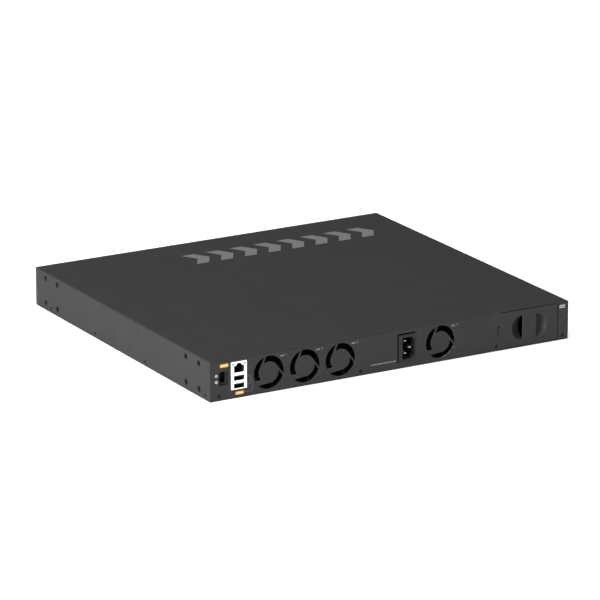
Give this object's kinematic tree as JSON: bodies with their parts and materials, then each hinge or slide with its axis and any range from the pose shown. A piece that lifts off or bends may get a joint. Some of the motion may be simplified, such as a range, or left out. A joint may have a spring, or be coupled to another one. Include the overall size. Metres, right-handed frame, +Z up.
{
  "type": "rackmount network switch",
  "caption": "One-unit rackmount network switch with copper and optical ports in front, fans, mains inlet, service ports and a blanked supply bay behind.",
  "frame": {"origin": "middle of the underside of the case", "axes": "+Z up, +Y out of the rear panel, -Y out of the port side, +X to the right as seen from the ports"},
  "size_m": [0.44, 0.402, 0.0432],
  "materials": {
    "cover_paint": "fine satin black powder coat",
    "panel_paint": "satin black powder coat",
    "bezel_plastic": "fine grain",
    "galvanised": "zinc coated sheet",
    "black_screws": "black zinc",
    "zinc_hardware": "zinc plated",
    "brass_posts": "plain",
    "circuit_board": "solder mask over copper",
    "chip_epoxy": "moulded",
    "heatsink_metal": "anodised",
    "capacitor_can": "sleeved can",
    "bright_shell": "bright nickel plated",
    "port_plastic": "moulded",
    "gold_contacts": "gold flashed",
    "light_pipe": "clear, frosted ends",
    "button_plastic": "moulded",
    "rotor_plastic": "glass filled",
    "copper_winding": "enamelled wire on a core",
    "ferrite": "ferrite with taped winding",
    "lead_jacket": "sleeved wires",
    "header_plastic": "natural nylon"
  },
  "bodies": {
    "chassis": {"top_cover": "cover_paint", "rear_panel": "panel_paint", "front_panel": "panel_paint", "front_bezel": "bezel_plastic", "base_pan": "galvanised", "fan_bracket": "galvanised", "psu_case": "galvanised", "psu_cover": "galvanised", "bay_cage": "galvanised", "cover_screws": "black_screws", "panel_screws": "black_screws", "ear_nuts": "zinc_hardware", "board_screws": "zinc_hardware", "fan_screws": "zinc_hardware", "board_standoffs": "brass_posts", "psu_standoffs": "brass_posts", "mainboard": "circuit_board", "psu_board": "circuit_board", "switch_chip": "chip_epoxy", "processor_chip": "chip_epoxy", "line_transceivers": "chip_epoxy", "memory_chips": "chip_epoxy", "inductors": "chip_epoxy", "switch_heatsink": "heatsink_metal", "processor_heatsink": "heatsink_metal", "psu_heatsinks": "heatsink_metal", "capacitors": "capacitor_can", "psu_capacitors": "capacitor_can", "copper_port_shells": "bright_shell", "sfp_cage": "bright_shell", "service_port_shell": "bright_shell", "copper_port_housings": "port_plastic", "sfp_connectors": "port_plastic", "service_port_housing": "port_plastic", "usb_tongues": "port_plastic", "console_jack": "port_plastic", "button_switches": "port_plastic", "ac_inlet": "port_plastic", "supply_connector": "port_plastic", "bay_connector": "port_plastic", "fan_frames": "port_plastic", "copper_port_contacts": "gold_contacts", "rear_jack_contacts": "gold_contacts", "ac_inlet_pins": "gold_contacts", "port_light_pipes": "light_pipe", "status_light_pipes": "light_pipe", "service_port_lights": "light_pipe", "rear_light_pipes": "light_pipe", "fan_stators": "copper_winding", "psu_transformer": "ferrite", "fan_leads": "lead_jacket", "fan_headers": "header_plastic"},
    "fan_rotor_1": {"fan_rotor_1": "rotor_plastic"},
    "fan_rotor_2": {"fan_rotor_2": "rotor_plastic"},
    "fan_rotor_3": {"fan_rotor_3": "rotor_plastic"},
    "fan_rotor_4": {"fan_rotor_4": "rotor_plastic"},
    "bay_blank": {"bay_blank": "panel_paint"},
    "mode_button": {"mode_button": "button_plastic"},
    "reset_button": {"reset_button": "button_plastic"}
  },
  "joints": [
    {"name": "fan_1_spin", "type": "hinge", "parent": "chassis", "child": "fan_rotor_1", "pos_m": [0.1503, 0.185, 0.0218], "axis": [0, 1, 0], "continuous": true},
    {"name": "fan_2_spin", "type": "hinge", "parent": "chassis", "child": "fan_rotor_2", "pos_m": [0.1073, 0.185, 0.0218], "axis": [0, 1, 0], "continuous": true},
    {"name": "fan_3_spin", "type": "hinge", "parent": "chassis", "child": "fan_rotor_3", "pos_m": [0.0643, 0.185, 0.0218], "axis": [0, 1, 0], "continuous": true},
    {"name": "fan_4_spin", "type": "hinge", "parent": "chassis", "child": "fan_rotor_4", "pos_m": [-0.0585, 0.185, 0.0218], "axis": [0, 1, 0], "continuous": true},
    {"name": "bay_blank_slide", "type": "slide", "parent": "chassis", "child": "bay_blank", "axis": [0, 1, 0], "range_m": [0, 0.06]},
    {"name": "mode_button_press", "type": "slide", "parent": "chassis", "child": "mode_button", "axis": [0, 1, 0], "range_m": [0, 0.0008], "stiffness_N_per_m": 900},
    {"name": "reset_button_press", "type": "slide", "parent": "chassis", "child": "reset_button", "axis": [0, 1, 0], "range_m": [0, 0.0006], "stiffness_N_per_m": 900}
  ]
}
